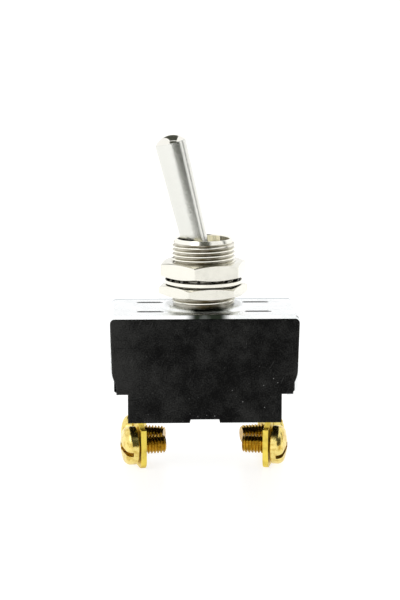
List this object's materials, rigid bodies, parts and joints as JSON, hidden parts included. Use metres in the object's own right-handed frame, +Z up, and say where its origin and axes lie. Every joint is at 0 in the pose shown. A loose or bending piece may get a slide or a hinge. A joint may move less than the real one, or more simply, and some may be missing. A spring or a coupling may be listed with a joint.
{
  "type": "toggle switch",
  "caption": "Panel-mount toggle switch: tilted metal bat lever, threaded bushing with hexagon nuts, steel cover, black stepped case and brass screw terminals.",
  "frame": {"origin": "on the bushing's axis, on the surface that the four terminal tabs stand on", "axes": "+Z up the bushing's axis, +X from the line terminals to the load terminals, -Y the front; the lever rests tilted towards -X"},
  "size_m": [0.035, 0.018, 0.0619],
  "materials": {
    "phenolic": "moulded black phenolic, faintly scuffed",
    "insulation": "black insulating board",
    "carrier_plastic": "natural moulded insulating plastic",
    "zinc_steel": "zinc-plated sheet steel",
    "nickel": "bright nickel plate on brass",
    "lever_nickel": "satin brushed nickel",
    "spring_steel": "spring steel",
    "brass_strip": "brass strip",
    "brass_screw": "yellow-passivated brass",
    "silver": "silver alloy"
  },
  "bodies": {
    "switch_body": {"housing": "phenolic", "cover_frame": "zinc_steel", "insulator_plate": "insulation", "bushing": "nickel", "lower_hex_nut": "nickel", "lock_washer": "nickel", "upper_hex_nut": "nickel", "line_terminal_front": "brass_strip", "line_terminal_back": "brass_strip", "load_terminal_front": "brass_strip", "load_terminal_back": "brass_strip", "fixed_contact_front": "silver", "fixed_contact_back": "silver"},
    "lever": {"toggle_lever": "lever_nickel", "pivot_pin": "spring_steel", "actuator_carrier": "carrier_plastic", "plunger_spring_front": "spring_steel", "plunger_spring_back": "spring_steel"},
    "plunger_front": {"plunger_front": "brass_strip"},
    "plunger_back": {"plunger_back": "brass_strip"},
    "rocker_front": {"rocker_front": "brass_strip", "moving_contact_front": "silver"},
    "rocker_back": {"rocker_back": "brass_strip", "moving_contact_back": "silver"},
    "screw_line_front": {"terminal_screw_line_front": "brass_screw"},
    "screw_line_back": {"terminal_screw_line_back": "brass_screw"},
    "screw_load_front": {"terminal_screw_load_front": "brass_screw"},
    "screw_load_back": {"terminal_screw_load_back": "brass_screw"}
  },
  "joints": [
    {"name": "lever_toggle", "type": "hinge", "parent": "switch_body", "child": "lever", "pos_m": [0, 0, 0.03525], "axis": [0, 1, 0], "range_deg": [0, 27.5]},
    {"name": "plunger_front_travel", "type": "slide", "parent": "lever", "child": "plunger_front", "axis": [-0.2377, 0, 0.9713], "range_m": [0, 0.001], "stiffness_N_per_m": 300, "springref_m": -0.002, "deforming": ["plunger_spring_front"]},
    {"name": "plunger_back_travel", "type": "slide", "parent": "lever", "child": "plunger_back", "axis": [-0.2377, 0, 0.9713], "range_m": [0, 0.001], "stiffness_N_per_m": 300, "springref_m": -0.002, "deforming": ["plunger_spring_back"]},
    {"name": "rocker_front_seesaw", "type": "hinge", "parent": "switch_body", "child": "rocker_front", "pos_m": [0, -0.0044, 0.01605], "axis": [0, 1, 0], "range_deg": [-14, 0]},
    {"name": "rocker_back_seesaw", "type": "hinge", "parent": "switch_body", "child": "rocker_back", "pos_m": [0, 0.0044, 0.01605], "axis": [0, 1, 0], "range_deg": [-14, 0]},
    {"name": "screw_line_front_travel", "type": "slide", "parent": "switch_body", "child": "screw_line_front", "axis": [-0.9781, -0.2079, 0], "range_m": [-0.00028, 0.00212]},
    {"name": "screw_line_back_travel", "type": "slide", "parent": "switch_body", "child": "screw_line_back", "axis": [-0.9781, 0.2079, 0], "range_m": [-0.00028, 0.00212]},
    {"name": "screw_load_front_travel", "type": "slide", "parent": "switch_body", "child": "screw_load_front", "axis": [0.9781, -0.2079, 0], "range_m": [-0.00028, 0.00212]},
    {"name": "screw_load_back_travel", "type": "slide", "parent": "switch_body", "child": "screw_load_back", "axis": [0.9781, 0.2079, 0], "range_m": [-0.00028, 0.00212]}
  ],
  "couplings": [
    {"joint": "rocker_front_seesaw", "follows": "lever_toggle", "ratio": -0.509},
    {"joint": "rocker_back_seesaw", "follows": "lever_toggle", "ratio": -0.509}
  ]
}
